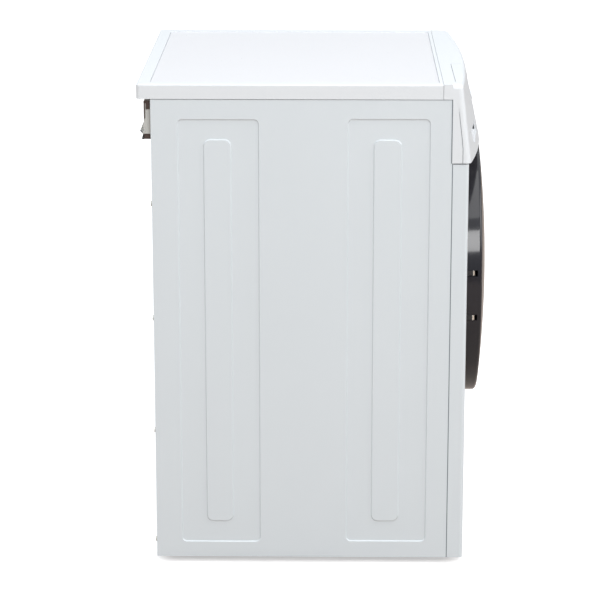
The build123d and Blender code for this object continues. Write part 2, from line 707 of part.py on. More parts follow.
feet = {}
for corner, (x, y) in foot_spots.items():
    with BuildPart() as foot:
        for z, radius in (((0.0, 7.0), 20.0), ((7.0, base_floor), 11.0),
                          ((base_floor, stem_top), foot_stem_radius)):
            with BuildSketch(Plane.XY.offset(z[0])):
                with Locations((x, y)):
                    if radius == 11.0:
                        RegularPolygon(radius, 6)
                    else:
                        Circle(radius)
            extrude(amount=z[1] - z[0])
        fillet(foot.edges().filter_by(GeomType.CIRCLE).filter_by(lambda e: e.radius > 19).sort_by(Axis.Z)[-1],
               radius=2.5)
    feet[corner] = foot

# ---------------------------------------------------------------- drive
span = hypot(motor_x, axis_z - motor_z)
belt_ride = drum_radius + body_gap
pulley_ride = pulley_radius + body_gap

with BuildPart() as motor:
    tube((-10.0, 95.0), 58.0, at=(motor_x, motor_z))
    tube((95.0, 104.0), 24.0, at=(motor_x, motor_z))
    with BuildSketch(frontal(10.0)):
        with Locations((motor_x, motor_z)):
            with PolarLocations(60.0, 24):
                Rectangle(8.0, 5.0)
    extrude(amount=-60, mode=Mode.SUBTRACT)
    tube((-11.0, 105.0), 8.0 + running_gap, at=(motor_x, motor_z), mode=Mode.SUBTRACT)

with BuildPart() as motor_shaft:
    tube((-62.0, 146.0), 8.0, at=(motor_x, motor_z))
    tube((belt_front - 3, belt_rear + 3), pulley_radius, at=(motor_x, motor_z))
    for flange_y in (belt_front - 3, belt_rear + 1):
        tube((flange_y, flange_y + 2), 15.0, at=(motor_x, motor_z))

with BuildPart() as fan_impeller:
    tube((-24.0, -22.0), 68.0, 8.0, at=(motor_x, motor_z))
    tube((-58.0, -22.0), 18.0, 8.0, at=(motor_x, motor_z))
    with BuildSketch(frontal(-56.0)):
        with Locations((motor_x, motor_z)):
            with PolarLocations(42.0, 12):
                Rectangle(50.0, 2.0, rotation=20)
    extrude(amount=-33)

with BuildPart() as fan_housing:
    tube((-66.0, -14.0), 77.0, 74.0, at=(motor_x, motor_z))
    tube((-69.0, -66.0), 77.0, 45.0, at=(motor_x, motor_z))
    tube((-14.0, -12.0), 77.0, 14.0, at=(motor_x, motor_z))

with BuildPart() as drive_belt:
    for grow, mode in ((belt_thickness, Mode.ADD), (0.0, Mode.SUBTRACT)):
        with BuildSketch(frontal(belt_front)):
            with Locations((0, axis_z)):
                Circle(belt_ride + grow)
            with Locations((motor_x, motor_z)):
                Circle(pulley_ride + grow)
            make_hull()
        extrude(amount=-(belt_rear - belt_front), mode=mode)

# The idler runs on the back of the slack strand, three quarters of the way down to the motor.
strand_angle = atan2(motor_z - axis_z, motor_x) - acos((belt_ride - pulley_ride) / span)
outward = (cos(strand_angle), sin(strand_angle))
strand_top = (belt_ride * outward[0], axis_z + belt_ride * outward[1])
strand_foot = (motor_x + pulley_ride * outward[0], motor_z + pulley_ride * outward[1])
idler_reach = belt_thickness + body_gap + idler_radius
idler_at = tuple(a + 0.75 * (b - a) + idler_reach * c for a, b,
                 c in zip(strand_top, strand_foot, outward))
arm_angle = degrees(atan2(idler_at[1] - arm_pivot[1], idler_at[0] - arm_pivot[0]))
arm_length = hypot(idler_at[0] - arm_pivot[0], idler_at[1] - arm_pivot[1])

with BuildPart() as tension_arm:
    with BuildSketch(frontal(141.0)):
        with Locations(((arm_pivot[0] + idler_at[0]) / 2, (arm_pivot[1] + idler_at[1]) / 2)):
            SlotOverall(arm_length + 18, 18.0, rotation=arm_angle)
    extrude(amount=-5)
    tube((146.0, 164.0), arm_pin_radius, at=arm_pivot)
    tube((belt_front - 1, 141.0), 4.0, at=idler_at)

with BuildPart() as idler_pulley:
    tube((belt_front, belt_rear), idler_radius, 4.0 + running_gap, at=idler_at)

rollers = {}
for side, spot in zip(("left", "right"), roller_spots):
    with BuildPart() as roller:
        tube((-182.0, -168.0), roller_radius, roller_pin_radius + running_gap, at=spot)
        fillet(roller.edges().filter_by(GeomType.CIRCLE).filter_by(lambda e: e.radius > 20), radius=1.5)
    rollers[side] = roller

with BuildPart() as condensate_pump:
    with BuildSketch(Plane.XY.offset(base_floor + base_wall)):
        with Locations((-190.0, 180.0)):
            Circle(30)
    extrude(amount=26)
    with BuildSketch(Plane.XY.offset(base_floor + base_wall + 26)):
        with Locations((-190.0, 180.0)):
            Circle(20)
    extrude(amount=30)
    block((-226.0, -216.0), (174.0, 186.0), (24.0, 36.0))

with BuildPart() as mains_inlet:
    tube((side_rear, side_rear + 6), 12.0, 5.0, at=(inlet_x, inlet_z))
    tube((side_rear - 8, side_rear), 9.0, 5.0, at=(inlet_x, inlet_z))
    block((inlet_x - 30, inlet_x + 30), (244.0, side_rear - 8), (inlet_z - 16, inlet_z + 16))
    tube((243.0, side_rear - 7), 5.0, at=(inlet_x, inlet_z), mode=Mode.SUBTRACT)

# ---------------------------------------------------------------- door
notch_half = ear_half + 0.7
notch_front = -277.5
glass_thickness = 4.0
crown_radius = (door_radius - door_edge) ** 2 / (2 * (door_rim - door_crown))
grip_half = 48.0


def dome_y(radius):
    """Depth of the door's crowned front at a radius from its centre."""
    edge = door_radius - door_edge
    return door_crown + (door_rim - door_crown) * (radius / edge) ** 2


def ear_notches():
    """Clearance that lets the fixed hinge ears pass through the rim as the door swings."""
    for ear_z in ear_heights:
        block((-240.0, hinge_x + 8), (notch_front, -250.0), (ear_z - notch_half, ear_z + notch_half),
              mode=Mode.SUBTRACT)


with BuildPart() as door_ring:
    mid_radius = (door_glass_radius + door_radius - door_edge) / 2
    with BuildSketch(Plane.YZ):
        with BuildLine():
            rim_top = axis_z + door_radius
            inner = axis_z + door_glass_radius
            Line((door_back, rim_top), (door_rim + door_edge, rim_top))
            RadiusArc((door_rim + door_edge, rim_top), (door_rim, rim_top - door_edge), -door_edge)
            ThreePointArc((door_rim, rim_top - door_edge), (dome_y(mid_radius), axis_z + mid_radius),
                          (dome_y(door_glass_radius), inner))
            Polyline((dome_y(door_glass_radius), inner), (door_back - 3.4, inner),
                     (door_back - 3.4, inner + door_wall),
                     (dome_y(door_glass_radius) + door_wall, inner + door_wall),
                     (door_rim + door_wall, rim_top - door_edge), (door_rim + door_edge,
                                                                   rim_top - door_wall),
                     (door_back, rim_top - door_wall), (door_back, rim_top))
        make_face()
    revolve(axis=drum_axis)
    # bosses that hold the hinge pin between the two ears
    for z in ((ear_heights[0] + ear_half + body_gap, 447.0),
              (488.0, ear_heights[1] - ear_half - body_gap)):
        with BuildSketch(Plane.XY.offset(z[0])):
            with Locations((hinge_x, hinge_y)):
                Circle(4.4)
            with Locations((hinge_x - 1.5, hinge_y - 7)):
                Rectangle(5.0, 14.0)
        extrude(amount=z[1] - z[0])
    ear_notches()
    with BuildSketch(Plane.XY.offset(420.0)):
        with Locations((hinge_x, hinge_y)):
            Circle(hinge_pin_radius)
    extrude(amount=95.0, mode=Mode.SUBTRACT)
    # finger grip behind the free edge
    block((224.0, 240.0), (-276.0, door_back + 1), (axis_z - grip_half, axis_z + grip_half),
          mode=Mode.SUBTRACT)

with BuildPart() as door_glass:
    glass_edge = door_glass_radius - 0.3
    tube((door_crown, dome_y(glass_edge) + glass_thickness), glass_edge)
    with Locations((0, door_crown + crown_radius, axis_z)):
        Sphere(crown_radius, mode=Mode.INTERSECT)
        Sphere(crown_radius - glass_thickness, mode=Mode.SUBTRACT)

with BuildPart() as door_inner_frame:
    tube((door_back - 3.4, door_back), door_radius - door_wall - 0.3, 158.0)
    tube((door_back - 9.0, door_back - 3.4), 182.0, 178.0)
    ear_notches()
    block((hinge_x - 8, hinge_x + 6), (-264.0, -250.0), (ear_heights[0] - 6, ear_heights[1] + 6),
          mode=Mode.SUBTRACT)
    block((223.0, 240.0), (-264.0, -250.0), (axis_z - grip_half, axis_z + grip_half), mode=Mode.SUBTRACT)
    # moulded hook that snaps into the catch
    block((213.0, 218.0), (door_back, -240.0), (catch_z - 7, catch_z + 7))
    block((218.0, 222.0), (-244.0, -240.0), (catch_z - 7, catch_z + 7))

with BuildPart() as door_bowl:
    with BuildSketch(Plane.YZ):
        with BuildLine():
            Polyline((-262.0, axis_z + 157.9), (door_back, axis_z + 157.9), (door_back, axis_z + 152),
                     (-243.0, axis_z + 122), (-243.0, axis_z), (-247.0, axis_z), (-247.0, axis_z + 119.8),
                     (-262.0, axis_z + 149), (-262.0, axis_z + 157.9))
        make_face()
    revolve(axis=drum_axis)

with BuildPart() as hinge_pin:
    with BuildSketch(Plane.XY.offset(ear_heights[0] - ear_half - 1)):
        with Locations((hinge_x, hinge_y)):
            Circle(hinge_pin_radius)
    extrude(amount=ear_heights[1] - ear_heights[0] + 2 * ear_half + 2)

with BuildPart() as hinge_bracket:
    plate_y = front_face + sheet
    block((-252.0, -206.0), (plate_y, plate_y + 2.5), (ear_heights[0] - 14, ear_heights[1] + 14))
    for ear_z in ear_heights:
        block((hinge_x - ear_radius, hinge_x + ear_radius), (hinge_y, plate_y),
              (ear_z - ear_half, ear_z + ear_half))
        with BuildSketch(Plane.XY.offset(ear_z - ear_half)):
            with Locations((hinge_x, hinge_y)):
                Circle(ear_radius)
        extrude(amount=2 * ear_half)
    with BuildSketch(Plane.XY.offset(400.0)):
        with Locations((hinge_x, hinge_y)):
            Circle(hinge_pin_radius + running_gap)
    extrude(amount=140.0, mode=Mode.SUBTRACT)

with BuildPart() as door_catch:
    catch_front = front_face + sheet
    block((catch_slot_x[0] - 2, catch_slot_x[1] + 2), (catch_front, -232.0), (catch_z - 18, catch_z + 18))
    block(catch_slot_x, (catch_front - 1, -234.0), catch_slot_z, mode=Mode.SUBTRACT)

# ---------------------------------------------------------------- export
pieces = {
    "worktop_frame": worktop_frame, "worktop_board": worktop_board,
    "left_side_panel": left_side_panel, "right_side_panel": right_side_panel,
    "rear_panel": rear_panel, "panel_screws": panel_screws, "front_panel": front_panel,
    "console": console, "display_window": display_window, "programme_knob": programme_knob,
    "control_board": control_board, "tank_drawer_front": tank_drawer_front, "water_tank": water_tank,
    "tank_housing": tank_housing, "hose_guide": hose_guide, "hose_clip": hose_clip,
    "cross_rails": cross_rails, "front_bulkhead": front_bulkhead, "drum_felt": drum_felt,
    "door_throat": door_throat, "door_seal": door_seal, "filter_duct": filter_duct,
    "lint_filter": lint_filter, "lint_mesh": lint_mesh, "drum_shell": drum_shell,
    "drum_back": drum_back, "drum_lifters": drum_lifters, "rear_bulkhead": rear_bulkhead,
    "heater": heater, "base_tray": base_tray, "service_flap": service_flap,
    "condenser_core": condenser_core, "condenser_frame": condenser_frame,
    "condenser_lever": condenser_lever, "motor": motor, "motor_shaft": motor_shaft,
    "fan_impeller": fan_impeller, "fan_housing": fan_housing, "drive_belt": drive_belt,
    "tension_arm": tension_arm, "idler_pulley": idler_pulley, "condensate_pump": condensate_pump,
    "mains_inlet": mains_inlet, "door_ring": door_ring, "door_glass": door_glass,
    "door_inner_frame": door_inner_frame, "door_bowl": door_bowl,
    "hinge_pin": hinge_pin, "hinge_bracket": hinge_bracket, "door_catch": door_catch,
}
pieces.update(buttons)
pieces.update({f"foot_{corner}": foot for corner, foot in feet.items()})
pieces.update({f"support_roller_{side}": roller for side, roller in rollers.items()})

for label, piece in pieces.items():
    save(piece, label)
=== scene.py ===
import json
import math
import bmesh
import bpy
from mathutils import Matrix, Vector


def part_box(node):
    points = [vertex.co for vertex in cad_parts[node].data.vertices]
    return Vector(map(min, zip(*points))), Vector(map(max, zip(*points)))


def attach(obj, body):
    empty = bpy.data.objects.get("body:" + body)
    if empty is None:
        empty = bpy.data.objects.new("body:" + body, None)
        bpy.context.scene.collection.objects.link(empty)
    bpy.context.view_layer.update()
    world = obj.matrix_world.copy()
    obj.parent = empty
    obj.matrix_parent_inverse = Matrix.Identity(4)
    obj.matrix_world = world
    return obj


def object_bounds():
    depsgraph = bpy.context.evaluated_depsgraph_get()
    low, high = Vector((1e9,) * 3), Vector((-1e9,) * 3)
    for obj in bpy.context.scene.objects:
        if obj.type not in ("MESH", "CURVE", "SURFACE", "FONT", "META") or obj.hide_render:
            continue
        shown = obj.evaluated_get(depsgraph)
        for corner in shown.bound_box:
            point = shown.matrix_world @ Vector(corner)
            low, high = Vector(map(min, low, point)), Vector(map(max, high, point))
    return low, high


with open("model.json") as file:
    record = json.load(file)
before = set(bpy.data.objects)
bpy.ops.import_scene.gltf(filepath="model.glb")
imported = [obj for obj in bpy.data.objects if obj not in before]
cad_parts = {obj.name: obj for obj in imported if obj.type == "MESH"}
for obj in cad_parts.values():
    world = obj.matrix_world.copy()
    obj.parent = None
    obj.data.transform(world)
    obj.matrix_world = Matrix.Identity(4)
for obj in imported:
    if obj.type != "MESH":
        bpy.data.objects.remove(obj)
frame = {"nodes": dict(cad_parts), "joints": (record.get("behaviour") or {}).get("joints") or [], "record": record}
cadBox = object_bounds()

nodes = frame["nodes"]
scene = bpy.context.scene
millimetre = 0.001
print("frame loaded:", len(nodes), "CAD parts")


# camera and stage
lowCorner, highCorner = Vector(cadBox[0]), Vector(cadBox[1])

cameraSettings = {
    "standOff": 4.040,  # metres out from the left flank
    "sideways": -0.032,  # along the dryer's depth, negative towards the door
    "eyeHeight": 0.712,  # above the worktop
    "pitchDegrees": 14.99,
    "yawDegrees": 0.84,
    "focalLength": 147.9,
    "sensorWidth": 36.0,
}

stageSettings = {
    "floorSize": 30.0,
    "floorTone": (0.93, 0.93, 0.935, 1.0),
    "floorRoughness": 0.95,
    "floorGlow": 0.5,  # lifts the seen floor to white
    "floorBounceTone": (0.42, 0.36, 0.32, 1.0),  # what the floor gives back to the dryer
    "worldTone": (0.96, 0.98, 1.0, 1.0),
    "backdropTone": (1.0, 1.0, 1.0, 1.0),
    "horizonLight": 0.3,
    "zenithLight": 0.92,
    "horizonHeight": -0.1,  # where the brightening starts, as the height of a sky direction
    "zenithHeight": 0.8,
}

lampSettings = {
    "topBank": {"place": (-1.0, -0.2, 3.4), "aim": (0.0, 0.0, 0.5), "size": (2.6, 2.6), "watts": 30.0},
    "doorBank": {"place": (-0.6, -4.0, 2.3), "aim": (0.0, -0.1, 0.6), "size": (3.0, 2.2), "watts": 54.0},
    "flankBank": {"place": (-4.4, -0.9, 3.0), "aim": (0.0, 0.0, 0.6), "size": (2.6, 1.6), "watts": 92.0},
    "rearBank": {"place": (2.6, 3.6, 2.6), "aim": (0.0, 0.1, 0.5), "size": (2.4, 2.0), "watts": 50.0},
}


def aimAlong(direction):
    return direction.to_track_quat("-Z", "Y").to_euler()


def makeCamera(settings):
    lens = bpy.data.cameras.new("dryerCamera")
    lens.lens = settings["focalLength"]
    lens.sensor_width = settings["sensorWidth"]
    eye = bpy.data.objects.new("dryerCamera", lens)
    eye.location = (lowCorner.x - settings["standOff"], settings["sideways"],
                    highCorner.z + settings["eyeHeight"])
    pitch = math.radians(settings["pitchDegrees"])
    yaw = math.radians(settings["yawDegrees"])
    look = Vector((math.cos(yaw) * math.cos(pitch), math.sin(yaw) * math.cos(pitch), -math.sin(pitch)))
    eye.rotation_euler = aimAlong(look)
    scene.collection.objects.link(eye)
    scene.camera = eye


def makeLamp(name, settings):
    lamp = bpy.data.lights.new(name, "AREA")
    lamp.shape = "RECTANGLE"
    lamp.size, lamp.size_y = settings["size"]
    lamp.energy = settings["watts"]
    holder = bpy.data.objects.new(name, lamp)
    holder.location = settings["place"]
    holder.rotation_euler = aimAlong(Vector(settings["aim"]) - Vector(settings["place"]))
    scene.collection.objects.link(holder)


def makeWorld(settings):
    # brighter overhead than at the horizon, so that flanks shade off towards their feet
    world = bpy.data.worlds.new("paleStudio")
    world.use_nodes = True
    tree = world.node_tree
    background = tree.nodes["Background"]
    background.inputs["Color"].default_value = settings["worldTone"]
    direction = tree.nodes.new("ShaderNodeTexCoord")
    parts = tree.nodes.new("ShaderNodeSeparateXYZ")
    climb = tree.nodes.new("ShaderNodeMapRange")
    climb.inputs["From Min"].default_value = settings["horizonHeight"]
    climb.inputs["From Max"].default_value = settings["zenithHeight"]
    climb.inputs["To Min"].default_value = settings["horizonLight"]
    climb.inputs["To Max"].default_value = settings["zenithLight"]
    tree.links.new(direction.outputs["Generated"], parts.inputs[0])
    tree.links.new(parts.outputs["Z"], climb.inputs["Value"])
    tree.links.new(climb.outputs["Result"], background.inputs["Strength"])
    backdrop = tree.nodes.new("ShaderNodeBackground")
    path = tree.nodes.new("ShaderNodeLightPath")
    mix = tree.nodes.new("ShaderNodeMixShader")
    tree.links.new(path.outputs["Is Camera Ray"], mix.inputs["Fac"])
    tree.links.new(background.outputs[0], mix.inputs[1])
    tree.links.new(backdrop.outputs[0], mix.inputs[2])
    tree.links.new(mix.outputs[0], tree.nodes["World Output"].inputs["Surface"])
    backdrop.inputs["Color"].default_value = settings["backdropTone"]
    scene.world = world


def makeFloor(settings):
    half = settings["floorSize"] / 2
    mesh = bpy.data.meshes.new("studioFloor")
    corners = [(-half, -half, 0), (half, -half, 0), (half, half, 0), (-half, half, 0)]
    mesh.from_pydata(corners, [], [(0, 1, 2, 3)])
    floor = bpy.data.objects.new("studioFloor", mesh)
    scene.collection.objects.link(floor)
    finish = bpy.data.materials.new("studioFloor")
    finish.use_nodes = True
    tree = finish.node_tree
    shader = tree.nodes["Principled BSDF"]
    shader.inputs["Base Color"].default_value = settings["floorTone"]
    shader.inputs["Roughness"].default_value = settings["floorRoughness"]
    shader.inputs["Specular IOR Level"].default_value = 0.0
    shader.inputs["Emission Color"].default_value = settings["floorTone"]
    shader.inputs["Emission Strength"].default_value = settings["floorGlow"]
    bounce = tree.nodes.new("ShaderNodeBsdfDiffuse")
    bounce.inputs["Color"].default_value = settings["floorBounceTone"]
    path = tree.nodes.new("ShaderNodeLightPath")
    mix = tree.nodes.new("ShaderNodeMixShader")
    tree.links.new(path.outputs["Is Camera Ray"], mix.inputs["Fac"])
    tree.links.new(bounce.outputs[0], mix.inputs[1])
    tree.links.new(shader.outputs[0], mix.inputs[2])
    tree.links.new(mix.outputs[0], tree.nodes["Material Output"].inputs["Surface"])
    mesh.materials.append(finish)


scene.view_settings.view_transform = "Standard"
makeCamera(cameraSettings)
makeWorld(stageSettings)
makeFloor(stageSettings)
for lampName, lampValues in lampSettings.items():
    makeLamp(lampName, lampValues)
print("camera, floor and lamps placed")


# effects that several finishes share, as node groups
effectSettings = {
    "driftDetail": 3.0,
    "reliefDetail": 2.0,
    "broadRelief": 0.13,  # scale of the broad relief against the fine one
    "dustOnFlanks": 0.15,  # least share of dust, on what faces sideways or down
    "dustScale": 60.0,
    "dustDetail": 6.0,
}


def startGroup(name, inputs, outputs):
    # inputs and outputs are (name, socket type, value) and (name, socket type)
    group = bpy.data.node_groups.new(name, "ShaderNodeTree")
    for label, kind, value in inputs:
        socket = group.interface.new_socket(name=label, in_out="INPUT", socket_type=kind)
        socket.default_value = value
    for label, kind in outputs:
        group.interface.new_socket(name=label, in_out="OUTPUT", socket_type=kind)
    return group, group.nodes.new("NodeGroupInput"), group.nodes.new("NodeGroupOutput")


def mathNode(tree, operation, first, second):
    node = tree.nodes.new("ShaderNodeMath")
    node.operation = operation
    for slotIndex, value in enumerate((first, second)):
        if isinstance(value, (int, float)):
            node.inputs[slotIndex].default_value = value
        else:
            tree.links.new(value, node.inputs[slotIndex])
    return node.outputs[0]


def noiseNode(tree, scale, detail, vector):
    node = tree.nodes.new("ShaderNodeTexNoise")
    node.inputs["Detail"].default_value = detail
    if isinstance(scale, (int, float)):
        node.inputs["Scale"].default_value = scale
    else:
        tree.links.new(scale, node.inputs["Scale"])
    tree.links.new(vector, node.inputs["Vector"])
    return node.outputs["Fac"]


def buildToneDrift():
    # slow, faint change of tone over a surface
    group, given, result = startGroup("toneDrift", [
        ("Tone", "NodeSocketColor", (0.8, 0.8, 0.8, 1)), ("Drift", "NodeSocketFloat", 0.02),
        ("Size", "NodeSocketFloat", 6.0)], [("Tone", "NodeSocketColor")])
    place = group.nodes.new("ShaderNodeTexCoord").outputs["Object"]
    cloud = noiseNode(group, given.outputs["Size"], effectSettings["driftDetail"], place)
    centred = mathNode(group, "SUBTRACT", cloud, 0.5)
    swing = mathNode(group, "MULTIPLY", centred, given.outputs["Drift"])
    value = mathNode(group, "ADD", mathNode(group, "MULTIPLY", swing, 2.0), 1.0)
    tint = group.nodes.new("ShaderNodeHueSaturation")
    group.links.new(given.outputs["Tone"], tint.inputs["Color"])
    group.links.new(value, tint.inputs["Value"])
    group.links.new(tint.outputs["Color"], result.inputs["Tone"])
    return group


def buildSkinRelief():
    # fine relief: two sizes of bump, stretched along an axis where the finish has a grain
    group, given, result = startGroup("skinRelief", [
        ("Size", "NodeSocketFloat", 400.0), ("Stretch", "NodeSocketVector", (1.0, 1.0, 1.0)),
        ("Coarse", "NodeSocketFloat", 0.3)],
        [("Height", "NodeSocketFloat"), ("Gloss Break", "NodeSocketFloat")])
    place = group.nodes.new("ShaderNodeTexCoord").outputs["Object"]
    stretch = group.nodes.new("ShaderNodeVectorMath")
    stretch.operation = "MULTIPLY"
    group.links.new(place, stretch.inputs[0])
    group.links.new(given.outputs["Stretch"], stretch.inputs[1])
    detail = effectSettings["reliefDetail"]
    fine = noiseNode(group, given.outputs["Size"], detail, stretch.outputs[0])
    broadScale = mathNode(group, "MULTIPLY", given.outputs["Size"], effectSettings["broadRelief"])
    broad = noiseNode(group, broadScale, detail, stretch.outputs[0])
    total = mathNode(group, "ADD", fine, mathNode(group, "MULTIPLY", broad, given.outputs["Coarse"]))
    group.links.new(total, result.inputs["Height"])
    group.links.new(broad, result.inputs["Gloss Break"])
    return group


def buildRestingDust():
    # dust on what faces up, thinner elsewhere
    group, given, result = startGroup("restingDust", [
        ("Tone", "NodeSocketColor", (0.8, 0.8, 0.8, 1)),
        ("Dust Tone", "NodeSocketColor", (0.6, 0.58, 0.55, 1)),
        ("Amount", "NodeSocketFloat", 0.2)], [("Tone", "NodeSocketColor"), ("Mask", "NodeSocketFloat")])
    place = group.nodes.new("ShaderNodeTexCoord").outputs["Object"]
    normal = group.nodes.new("ShaderNodeNewGeometry").outputs["Normal"]
    parts = group.nodes.new("ShaderNodeSeparateXYZ")
    group.links.new(normal, parts.inputs[0])
    upward = mathNode(group, "MAXIMUM", parts.outputs["Z"], effectSettings["dustOnFlanks"])
    specks = noiseNode(group, effectSettings["dustScale"], effectSettings["dustDetail"], place)
    mask = mathNode(group, "MULTIPLY", mathNode(group, "MULTIPLY", upward, specks), given.outputs["Amount"])
    mix = group.nodes.new("ShaderNodeMix")
    mix.data_type = "RGBA"
    group.links.new(mask, mix.inputs["Factor"])
    group.links.new(given.outputs["Tone"], mix.inputs["A"])
    group.links.new(given.outputs["Dust Tone"], mix.inputs["B"])
    group.links.new(mix.outputs["Result"], result.inputs["Tone"])
    group.links.new(mask, result.inputs["Mask"])
    return group


def buildWeave():
    # crossing threads, for cloth, felt and mesh
    group, given, result = startGroup("crossThreads", [("Pitch", "NodeSocketFloat", 900.0)],
                                      [("Height", "NodeSocketFloat")])
    place = group.nodes.new("ShaderNodeTexCoord").outputs["Object"]
    parts = group.nodes.new("ShaderNodeSeparateXYZ")
    group.links.new(place, parts.inputs[0])
    waves = []
    for axis in ("X", "Z"):
        phase = mathNode(group, "MULTIPLY", parts.outputs[axis], given.outputs["Pitch"])
        waves.append(mathNode(group, "ABSOLUTE", mathNode(group, "SINE", phase, 0.0), 0.0))
    group.links.new(mathNode(group, "MAXIMUM", waves[0], waves[1]), result.inputs["Height"])
    return group


groups = {"drift": buildToneDrift(), "relief": buildSkinRelief(), "dust": buildRestingDust(),
          "weave": buildWeave()}
print("shared effects built:", ", ".join(group.name for group in groups.values()))


# finishes: size, driftSize and weave are scales of the patterns, depth is the relief in metres
finishDefaults = {
    "driftSize": 7.0,
    "stretch": (1.0, 1.0, 1.0),
    "coatRoughness": 0.05,
    "refraction": 1.47,
    "reliefUnderWeave": 0.4,
    "glossBreak": 0.12,
    "dustDulls": 0.6,
}

finishes = {
    "white_enamel": {"tone": (0.695, 0.75, 0.785), "rough": 0.32, "coat": 0.35, "size": 900, "depth": 0.00006,
                     "drift": 0.012, "dust": 0.03},
    "white_plastic": {"tone": (0.75, 0.785, 0.815), "rough": 0.38, "size": 1600, "depth": 0.00004, "drift": 0.01,
                      "dust": 0.03},
    "worktop_laminate": {"tone": (0.775, 0.785, 0.815), "rough": 0.3, "size": 2200, "depth": 0.00003,
                         "drift": 0.008, "dust": 0.02},
    "galvanised_steel": {"tone": (0.56, 0.58, 0.59), "rough": 0.42, "metal": 1.0, "size": 60, "depth": 0.0001,
                         "drift": 0.16, "driftSize": 45, "dust": 0.15},
    "stainless_steel": {"tone": (0.6, 0.595, 0.585), "rough": 0.36, "metal": 1.0, "size": 500,
                        "stretch": (1.0, 0.04, 1.0), "depth": 0.00006, "drift": 0.05, "dust": 0.04},
    "hinge_steel": {"tone": (0.86, 0.82, 0.76), "rough": 0.22, "metal": 1.0, "size": 1500, "depth": 0.00003,
                    "drift": 0.05, "dust": 0.03},
    "black_enamel": {"tone": (0.02, 0.02, 0.022), "rough": 0.35, "coat": 0.2, "size": 900, "depth": 0.00004,
                     "drift": 0.1, "dust": 0.03},
    "zinc_screws": {"tone": (0.62, 0.62, 0.58), "rough": 0.35, "metal": 1.0, "size": 1500, "depth": 0.00003,
                    "drift": 0.1, "dust": 0.1},
    "grey_plastic": {"tone": (0.2, 0.21, 0.22), "rough": 0.55, "size": 1200, "depth": 0.0001, "drift": 0.06,
                     "dust": 0.25},
    "black_gloss": {"tone": (0.011, 0.011, 0.016), "rough": 0.12, "coat": 0.35, "size": 300, "depth": 0.00001,
                    "drift": 0.1, "dust": 0.008},
    "dark_glass": {"tone": (0.02, 0.021, 0.026), "rough": 0.04, "coat": 0.5, "size": 60, "depth": 0.00001,
                   "drift": 0.1, "dust": 0.01},
    "clear_glass": {"tone": (0.86, 0.9, 0.9), "rough": 0.03, "glass": 0.92, "size": 60, "depth": 0.00001,
                    "drift": 0.01, "dust": 0.01},
    "light_grey_plastic": {"tone": (0.5, 0.51, 0.52), "rough": 0.42, "size": 1300, "depth": 0.00005,
                           "drift": 0.02, "dust": 0.06},
    "rubber": {"tone": (0.035, 0.035, 0.036), "rough": 0.7, "size": 1600, "depth": 0.0001, "drift": 0.12,
               "dust": 0.2},
    "black_rubber_foot": {"tone": (0.022, 0.022, 0.023), "rough": 0.65, "size": 900, "depth": 0.0001,
                          "drift": 0.12, "dust": 0.25},
    "felt": {"tone": (0.45, 0.43, 0.4), "rough": 0.95, "size": 2600, "depth": 0.0004, "drift": 0.12,
             "weave": 1800, "dust": 0.1},
    "aluminium": {"tone": (0.74, 0.75, 0.76), "rough": 0.34, "metal": 1.0, "size": 600,
                  "stretch": (1.0, 1.0, 0.05), "depth": 0.00008, "drift": 0.06, "dust": 0.12},
    "blue_plastic": {"tone": (0.03, 0.13, 0.36), "rough": 0.4, "size": 1200, "depth": 0.00005, "drift": 0.03,
                     "dust": 0.06},
    "milky_plastic": {"tone": (0.74, 0.75, 0.72), "rough": 0.42, "size": 700, "depth": 0.0001, "drift": 0.06,
                      "through": 0.25, "dust": 0.08},
    "brown_plastic": {"tone": (0.075, 0.052, 0.045), "rough": 0.45, "size": 1400, "depth": 0.00006,
                      "drift": 0.1, "dust": 0.05},
    "display_black": {"tone": (0.008, 0.008, 0.011), "rough": 0.06, "coat": 0.7, "size": 200, "depth": 0.00001,
                      "drift": 0.1, "dust": 0.01},
    "circuit_board": {"tone": (0.02, 0.13, 0.05), "rough": 0.35, "size": 500, "depth": 0.00008, "drift": 0.2,
                      "driftSize": 120, "dust": 0.05},
    "silver_plastic": {"tone": (0.6, 0.61, 0.62), "rough": 0.28, "metal": 0.75, "size": 1600, "depth": 0.00003,
                       "drift": 0.02, "dust": 0.02},
    "motor_enamel": {"tone": (0.05, 0.05, 0.055), "rough": 0.5, "size": 500, "depth": 0.0002, "drift": 0.12,
                     "dust": 0.2},
    "heater_steel": {"tone": (0.3, 0.25, 0.22), "rough": 0.55, "metal": 1.0, "size": 400, "depth": 0.0001,
                     "drift": 0.3, "driftSize": 30, "dust": 0.05},
    "black_plastic": {"tone": (0.02, 0.02, 0.021), "rough": 0.5, "size": 1400, "depth": 0.00006, "drift": 0.06,
                      "dust": 0.1},
    # seal_grey colours the dark strips in the flank joints and the console's cap seams: a shaded copy of the white
    # enamel, painted shade
    "seal_grey": {"tone": (0.17, 0.2, 0.225), "rough": 0.6, "size": 1500, "depth": 0.00004, "drift": 0.06,
                  "dust": 0.08},
    "print_grey": {"tone": (0.16, 0.17, 0.185), "rough": 0.5, "size": 1200, "depth": 0.00002, "drift": 0.05,
                   "dust": 0.02},
    "lit_display": {"tone": (0.75, 0.85, 0.9), "rough": 0.35, "size": 900, "depth": 0.00001, "drift": 0.04,
                    "dust": 0.01, "glow": 1.2},
    "filter_mesh": {"tone": (0.62, 0.62, 0.6), "rough": 0.8, "size": 1600, "depth": 0.0005, "drift": 0.05,
                    "weave": 5200, "dust": 0.15},
}


def placeGroup(tree, group, values):
    node = tree.nodes.new("ShaderNodeGroup")
    node.node_tree = group
    for label, value in values.items():
        if isinstance(value, bpy.types.NodeSocket):
            tree.links.new(value, node.inputs[label])
        else:
            node.inputs[label].default_value = value
    return node


